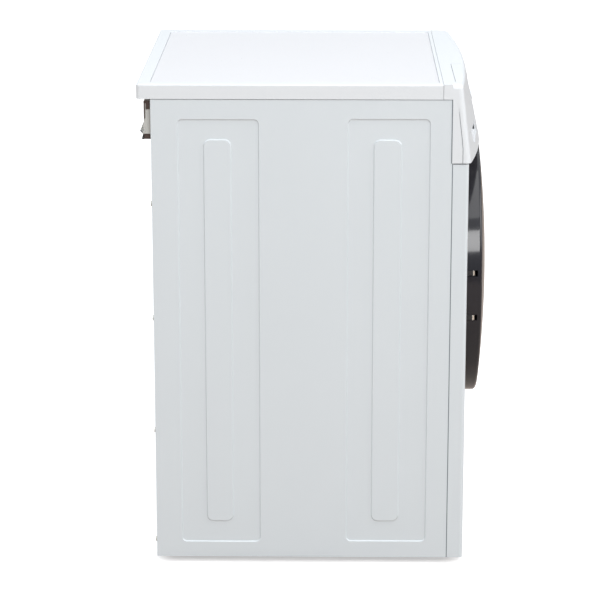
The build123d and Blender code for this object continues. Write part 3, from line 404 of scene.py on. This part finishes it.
def makeFinish(name, values):
    finish = bpy.data.materials.new(name)
    finish.use_nodes = True
    tree = finish.node_tree
    shader = tree.nodes["Principled BSDF"]
    tone = (*values["tone"], 1.0)
    driftSize = values.get("driftSize", finishDefaults["driftSize"])
    drift = placeGroup(tree, groups["drift"], {"Tone": tone, "Drift": values["drift"], "Size": driftSize})
    dust = placeGroup(tree, groups["dust"], {"Tone": drift.outputs["Tone"], "Amount": values["dust"]})
    stretch = values.get("stretch", finishDefaults["stretch"])
    relief = placeGroup(tree, groups["relief"], {"Size": values["size"], "Stretch": stretch})
    height = relief.outputs["Height"]
    if "weave" in values:
        threads = placeGroup(tree, groups["weave"], {"Pitch": values["weave"]})
        under = mathNode(tree, "MULTIPLY", height, finishDefaults["reliefUnderWeave"])
        height = mathNode(tree, "ADD", threads.outputs["Height"], under)
    bump = tree.nodes.new("ShaderNodeBump")
    bump.inputs["Strength"].default_value = 1.0
    bump.inputs["Distance"].default_value = values["depth"]
    tree.links.new(height, bump.inputs["Height"])
    tree.links.new(bump.outputs["Normal"], shader.inputs["Normal"])
    tree.links.new(dust.outputs["Tone"], shader.inputs["Base Color"])
    centred = mathNode(tree, "SUBTRACT", relief.outputs["Gloss Break"], 0.5)
    uneven = mathNode(tree, "MULTIPLY", centred, finishDefaults["glossBreak"])
    dusty = mathNode(tree, "MULTIPLY", dust.outputs["Mask"], finishDefaults["dustDulls"])
    dulled = mathNode(tree, "ADD", dusty, uneven)
    tree.links.new(mathNode(tree, "ADD", dulled, values["rough"]), shader.inputs["Roughness"])
    shader.inputs["Metallic"].default_value = values.get("metal", 0.0)
    shader.inputs["Coat Weight"].default_value = values.get("coat", 0.0)
    shader.inputs["Coat Roughness"].default_value = finishDefaults["coatRoughness"]
    shader.inputs["Transmission Weight"].default_value = values.get("glass", values.get("through", 0.0))
    shader.inputs["IOR"].default_value = finishDefaults["refraction"]
    if "glow" in values:
        shader.inputs["Emission Color"].default_value = tone
        shader.inputs["Emission Strength"].default_value = values["glow"]
    return finish


materials = {name: makeFinish(name, values) for name, values in finishes.items()}
slotOf = {part["node"]: part["material_slot"] for part in frame["record"]["subparts"]}
edgeFinish = {"rounding": 0.25, "segments": 2, "roundAbove": 32.0, "creaseAbove": 34.0, "faceWeight": 80,
              "weldDistance": 0.00001}
edgeRounding = {"worktop_frame": 1.2, "console": 0.5, "tank_drawer_front": 0.4, "left_side_panel": 0.35,
                "right_side_panel": 0.35, "front_panel": 0.4, "door_ring": 0.4, "service_flap": 0.4}


def buildCreaseTree():
    # keeps edges sharper than the given angle crisp and shades the rest smooth
    tree = bpy.data.node_groups.new("creaseByAngle", "GeometryNodeTree")
    tree.interface.new_socket(name="Geometry", in_out="INPUT", socket_type="NodeSocketGeometry")
    tree.interface.new_socket(name="Geometry", in_out="OUTPUT", socket_type="NodeSocketGeometry")
    given, result = tree.nodes.new("NodeGroupInput"), tree.nodes.new("NodeGroupOutput")
    smooth = tree.nodes.new("GeometryNodeSetShadeSmooth")
    crease = tree.nodes.new("GeometryNodeSetShadeSmooth")
    crease.domain = "EDGE"
    crease.inputs["Shade Smooth"].default_value = False
    edgeAngle = tree.nodes.new("GeometryNodeInputMeshEdgeAngle")
    sharper = tree.nodes.new("FunctionNodeCompare")
    sharper.operation = "GREATER_THAN"
    sharper.inputs["B"].default_value = math.radians(edgeFinish["creaseAbove"])
    tree.links.new(given.outputs[0], smooth.inputs["Geometry"])
    tree.links.new(smooth.outputs[0], crease.inputs["Geometry"])
    tree.links.new(edgeAngle.outputs["Unsigned Angle"], sharper.inputs["A"])
    tree.links.new(sharper.outputs[0], crease.inputs["Selection"])
    tree.links.new(crease.outputs[0], result.inputs[0])
    return tree


creaseTree = buildCreaseTree()


def softenEdges(piece, rounding):
    piece.data.shade_smooth()
    bevel = piece.modifiers.new("softEdges", "BEVEL")
    bevel.width = rounding * millimetre
    bevel.segments = edgeFinish["segments"]
    bevel.limit_method = "ANGLE"
    bevel.angle_limit = math.radians(edgeFinish["roundAbove"])
    crease = piece.modifiers.new("crease", "NODES")
    crease.node_group = creaseTree
    normals = piece.modifiers.new("evenShading", "WEIGHTED_NORMAL")
    normals.weight = edgeFinish["faceWeight"]
    normals.keep_sharp = True


def dressCadPart(name, part):
    part.data.materials.clear()
    part.data.materials.append(materials[slotOf[name]])
    weld = part.modifiers.new("joinFaces", "WELD")
    weld.merge_threshold = edgeFinish["weldDistance"]
    softenEdges(part, edgeRounding.get(name, edgeFinish["rounding"]))


for partName, part in nodes.items():
    dressCadPart(partName, part)
print("CAD parts dressed")


# small pieces that the CAD model leaves out; sizes in millimetres
inFront = -400.0  # depth from which the front faces are sought


def addPiece(name, mesh, finishName, body):
    piece = bpy.data.objects.new(name, mesh)
    scene.collection.objects.link(piece)
    mesh.materials.append(materials[finishName])
    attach(piece, body)
    return piece


def meshFrom(name, build):
    # build fills a bmesh in millimetres, and the mesh comes back in metres
    shape = bmesh.new()
    build(shape)
    bmesh.ops.scale(shape, vec=Vector((millimetre,) * 3), verts=shape.verts)
    bmesh.ops.recalc_face_normals(shape, faces=shape.faces)
    mesh = bpy.data.meshes.new(name)
    shape.to_mesh(mesh)
    shape.free()
    return mesh


def prism(shape, outline, place, thickness):
    # a flat outline in the plane of place, given depth along its z axis
    lower = [shape.verts.new(place @ Vector((x, y, 0.0))) for x, y in outline]
    upper = [shape.verts.new(place @ Vector((x, y, thickness))) for x, y in outline]
    shape.faces.new(list(reversed(lower)))
    shape.faces.new(upper)
    count = len(outline)
    for here in range(count):
        after = (here + 1) % count
        shape.faces.new((lower[here], lower[after], upper[after], upper[here]))


def rectangle(width, height, centre=(0.0, 0.0)):
    x, y = centre
    return [(x - width / 2, y - height / 2), (x + width / 2, y - height / 2),
            (x + width / 2, y + height / 2), (x - width / 2, y + height / 2)]


def disc(radius, steps=24, centre=(0.0, 0.0)):
    return [(centre[0] + radius * math.cos(2 * math.pi * step / steps),
             centre[1] + radius * math.sin(2 * math.pi * step / steps)) for step in range(steps)]


def ringSector(shape, inner, outer, place, thickness, startAngle, endAngle, steps):
    # part of a flat ring, as a closed solid
    angles = [math.radians(startAngle + (endAngle - startAngle) * step / steps) for step in range(steps + 1)]
    outline = [(outer * math.cos(a), outer * math.sin(a)) for a in angles]
    outline += [(inner * math.cos(a), inner * math.sin(a)) for a in reversed(angles)]
    lower = [shape.verts.new(place @ Vector((x, y, 0.0))) for x, y in outline]
    upper = [shape.verts.new(place @ Vector((x, y, thickness))) for x, y in outline]
    count = len(outline)
    for step in range(steps):
        far = count - 1 - step
        shape.faces.new((lower[step], lower[far], lower[far - 1], lower[step + 1]))
        shape.faces.new((upper[step], upper[step + 1], upper[far - 1], upper[far]))
    for here in range(count):
        after = (here + 1) % count
        shape.faces.new((lower[here], lower[after], upper[after], upper[here]))


def surfacePlace(nodeName, x, z):
    # a frame on a part's front face at x, z: local x to the right, y up, z out of the face
    part = nodes[nodeName]
    origin = Vector((x, inFront, z)) * millimetre
    hit, point, normal, _ = part.ray_cast(origin, Vector((0.0, 1.0, 0.0)))
    if not hit:
        raise ValueError("no face of " + nodeName + " there")
    upward = Vector((0.0, 0.0, 1.0))
    across = upward.cross(normal).normalized()
    upward = normal.cross(across).normalized()
    place = Matrix((across, upward, normal)).transposed().to_4x4()
    place.translation = point / millimetre
    return place


jointOf = {joint["name"]: joint for joint in frame["joints"]}


# bright sleeves on the hinge ears, seen in the notches of the door ring
hingeSleeve = {"heights": (428.0, 507.0), "inner": 2.6, "outer": 3.8, "half": 4.1, "openDegrees": 150.0,
               "steps": 20, "rounding": 0.3}


def makeHingeSleeves(values):
    pin = Vector(jointOf["door_hinge"]["pos_m"]) / millimetre
    half = (360.0 - values["openDegrees"]) / 2
    frontAngle = 270.0  # towards -Y
    for name, height in zip(("hingeSleeveLower", "hingeSleeveUpper"), values["heights"]):
        place = Matrix.Translation((pin.x, pin.y, height - values["half"]))

        def build(shape):
            ringSector(shape, values["inner"], values["outer"], place, 2 * values["half"],
                       frontAngle - half, frontAngle + half, values["steps"])
        sleeve = addPiece(name, meshFrom(name, build), "hinge_steel", "cabinet")
        softenEdges(sleeve, values["rounding"])


makeHingeSleeves(hingeSleeve)


# painted shade: dark strips, a shaded copy of the white enamel, in the joints between each flank, the console and
# the front panel, standing in for the shade in the gaps
flankJointShade = {"width": 1.5, "depth": 1.2, "frontProud": 0.12, "consoleProud": 0.8, "capSeamWidth": 0.8,
             "capSeamProud": 0.1, "capSeamSink": 1.0, "capSeamTopShare": 0.25, "rounding": 0.1,
             "capSeamRounding": 0.05,
             "capSeam": [(-237.4, 800.0), (-239.5, 784.0), (-243.0, 756.0), (-244.8, 738.0), (-244.8, 713.4)]}


def makeFlankJointShade(values):
    flankLow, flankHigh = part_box("left_side_panel")
    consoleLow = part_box("console")[0]
    top, foot = flankHigh.z / millimetre, flankLow.z / millimetre
    change = consoleLow.z / millimetre
    front = flankLow.y / millimetre
    flank, end = abs(flankLow.x) / millimetre, abs(consoleLow.x) / millimetre
    for name, side in (("flankJointShadeLeft", -1), ("flankJointShadeRight", 1)):
        def build(shape):
            # beside the front panel, then beside the console
            for proud, shift, low, high in ((values["frontProud"], -values["width"], foot, change),
                                            (values["consoleProud"], 0.0, change, top)):
                outer, inner = side * (flank + proud), side * (flank - values["depth"])
                outline = [(outer, front + shift), (outer, front + shift + values["width"]),
                           (inner, front + shift + values["width"]), (inner, front + shift)]
                prism(shape, outline, Matrix.Translation((0, 0, low)), high - low)
        # each strip is painted shade in the gap of its joint
        shadeStrip = addPiece(name, meshFrom(name, build), "seal_grey", "cabinet")
        softenEdges(shadeStrip, values["rounding"])
    # the cap seams are dark strips sunk in the groove on each end of the console: painted shade
    for name, side in (("capSeamShadeLeft", -1), ("capSeamShadeRight", 1)):
        def build(shape):
            # painted shade in the groove between the console's end cap and fascia, tapering away towards the top
            points = values["capSeam"]
            half = values["capSeamWidth"] / 2
            topShare = values["capSeamTopShare"]
            widths = [half * (topShare + (1.0 - topShare) * step / (len(points) - 1))
                      for step in range(len(points))]
            outline = [(y - w, z) for (y, z), w in zip(points, widths)]
            outline += [(y + w, z) for (y, z), w in reversed(list(zip(points, widths)))]
            facing = Matrix(((0, 0, side, 0), (1, 0, 0, 0), (0, 1, 0, 0), (0, 0, 0, 1)))
            start = Matrix.Translation((side * (end - values["capSeamSink"]), 0, 0))
            prism(shape, outline, start @ facing, values["capSeamSink"] + values["capSeamProud"])
        seamShade = addPiece(name, meshFrom(name, build), "seal_grey", "cabinet")
        softenEdges(seamShade, values["capSeamRounding"])


makeFlankJointShade(flankJointShade)


# dark trims of the hose guide at the rear corner; each is (depth, height) points and a thickness
guideTrims = {
    "guideEdge": {"outline": [(285.8, 786.0), (287.5, 786.0), (287.5, 816.2), (285.8, 816.2)],
                  "finish": "brown_plastic", "from": -286.7, "thickness": 5.0, "rounding": 0.35},
    "guideHook": {"outline": [(290.4, 764.0), (293.6, 767.2), (295.2, 765.3), (292.6, 762.0), (290.6, 762.2)],
                  "finish": "grey_plastic", "from": -286.6, "thickness": 10.0, "rounding": 0.35},
    "guideFoot": {"outline": [(287.4, 758.0), (290.0, 760.0), (291.6, 754.0), (291.8, 750.4), (288.6, 750.6)],
                  "finish": "black_plastic", "from": -286.8, "thickness": 12.0, "rounding": 0.35},
}


def makeGuideTrims(trims):
    # the outline's plane is upright and faces +X: its x is depth and its y is height
    upright = Matrix(((0, 0, 1, 0), (1, 0, 0, 0), (0, 1, 0, 0), (0, 0, 0, 1)))
    for name, values in trims.items():
        def build(shape):
            prism(shape, values["outline"], Matrix.Translation((values["from"], 0, 0)) @ upright,
                  values["thickness"])
        trim = addPiece(name, meshFrom(name, build), values["finish"], "cabinet")
        softenEdges(trim, values["rounding"])


makeGuideTrims(guideTrims)


# ticks round the programme dial
dialMarks = {"count": 16, "inner": 35.2, "outer": 38.6, "longOuter": 40.4, "width": 0.9, "sink": 1.0,
             "proud": 0.25, "rounding": 0.08, "longEvery": 4}


def makeDialMarks(values):
    centre = Vector(jointOf["knob_turn"]["pos_m"]) / millimetre

    def build(shape):
        for step in range(values["count"]):
            angle = 2 * math.pi * step / values["count"]
            reach = values["longOuter"] if step % values["longEvery"] == 0 else values["outer"]
            middle = (values["inner"] + reach) / 2
            spot = surfacePlace("console", centre.x + middle * math.sin(angle),
                                centre.z + middle * math.cos(angle))
            turn = Matrix.Rotation(-angle, 4, "Z")
            place = spot @ turn @ Matrix.Translation((0, 0, -values["sink"]))
            prism(shape, rectangle(values["width"], reach - values["inner"]), place,
                  values["sink"] + values["proud"])
    marks = addPiece("dialMarks", meshFrom("dialMarks", build), "print_grey", "cabinet")
    softenEdges(marks, values["rounding"])


makeDialMarks(dialMarks)


# lit time and lamps behind the display window
displayDigits = {"digits": "130", "height": 17.0, "width": 8.6, "bar": 1.7, "spacing": 13.4, "start": 36.0,
                 "middle": 788.0, "sink": 0.4, "proud": 0.12, "colonGap": 3.0, "dotRadius": 0.9,
                 "dotSteps": 12, "dotHeight": 3.4}
segmentsOf = {"0": "abcdef", "1": "bc", "3": "abcdg"}


def segmentOutlines(values):
    half, tall, bar = values["width"] / 2, values["height"] / 2, values["bar"]
    # bars stop a little short of each other
    across = half * 2 - bar * 1.3
    upright = tall - bar * 1.1
    return {"a": (across, bar, 0, tall), "g": (across, bar, 0, 0), "d": (across, bar, 0, -tall),
            "b": (bar, upright, half, tall / 2), "c": (bar, upright, half, -tall / 2),
            "e": (bar, upright, -half, -tall / 2), "f": (bar, upright, -half, tall / 2)}


def makeDisplayDigits(values):
    outlines = segmentOutlines(values)

    def build(shape):
        for place, digit in enumerate(values["digits"]):
            column = values["start"] + place * values["spacing"] + (values["colonGap"] if place else 0.0)
            for segment in segmentsOf[digit]:
                width, height, x, z = outlines[segment]
                spot = surfacePlace("display_window", column + x, values["middle"] + z)
                prism(shape, rectangle(width, height), spot @ Matrix.Translation((0, 0, -values["sink"])),
                      values["sink"] + values["proud"])
        for height in (-values["dotHeight"], values["dotHeight"]):
            column = values["start"] + values["spacing"] / 2 + values["colonGap"] / 2
            spot = surfacePlace("display_window", column, values["middle"] + height)
            prism(shape, disc(values["dotRadius"], values["dotSteps"]),
                  spot @ Matrix.Translation((0, 0, -values["sink"])),
                  values["sink"] + values["proud"])
    addPiece("displayDigits", meshFrom("displayDigits", build), "lit_display", "cabinet")


makeDisplayDigits(displayDigits)


# round lamps over the keys, with the small signs on them
keySigns = {"lampRadius": 1.3, "lampSpots": ((40.0, 759.5), (92.0, 759.5), (-40.0, 799.0), (252.0, 803.5)),
            "lampSteps": 16, "sink": 0.6, "proud": 0.15, "line": 0.9,
            "powerRadius": 4.2, "powerAngles": (125.0, 415.0), "powerSteps": 28, "powerStroke": 0.8,
            "playSize": 5.2, "playHalf": 0.62, "playTip": 0.1, "pauseAt": (0.3, 0.72), "optionBar": 9.0}


def makeLamps(values):
    def build(shape):
        for x, z in values["lampSpots"]:
            spot = surfacePlace("console", x, z)
            prism(shape, disc(values["lampRadius"], values["lampSteps"]),
                  spot @ Matrix.Translation((0, 0, -values["sink"])),
                  values["sink"] + values["proud"])
    addPiece("keyLamps", meshFrom("keyLamps", build), "lit_display", "cabinet")


def makeKeySigns(values):
    rise = Matrix.Translation((0, 0, -values["sink"]))
    depth = values["sink"] + values["proud"]

    def middleOf(nodeName):
        low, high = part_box(nodeName)
        return (low.x + high.x) / 2 / millimetre, (low.z + high.z) / 2 / millimetre

    def buildPower(shape):
        spot = surfacePlace("power_button", *middleOf("power_button")) @ rise
        radius, line = values["powerRadius"], values["line"]
        ringSector(shape, radius - line, radius, spot, depth, *values["powerAngles"], values["powerSteps"])
        prism(shape, rectangle(line, radius, (0, radius * values["powerStroke"])), spot, depth)

    def buildStart(shape):
        spot = surfacePlace("start_button", *middleOf("start_button")) @ rise
        size, half = values["playSize"], values["playSize"] * values["playHalf"]
        prism(shape, [(-size, -half), (-size * values["playTip"], 0.0), (-size, half)], spot, depth)
        for offset in values["pauseAt"]:
            prism(shape, rectangle(values["line"], 2 * half, (size * offset, 0.0)), spot, depth)

    def buildBar(nodeName):
        def build(shape):
            spot = surfacePlace(nodeName, *middleOf(nodeName)) @ rise
            prism(shape, rectangle(values["optionBar"], values["line"]), spot, depth)
        return build
    for name, build, body in (("powerSign", buildPower, "power_key"),
                              ("startSign", buildStart, "start_key"),
                              ("optionSignLeft", buildBar("option_button_left"), "option_key_left"),
                              ("optionSignRight", buildBar("option_button_right"), "option_key_right")):
        addPiece(name, meshFrom(name, build), "print_grey", body)


makeLamps(keySigns)
makeKeySigns(keySigns)
print("console marks, lamps and signs made")
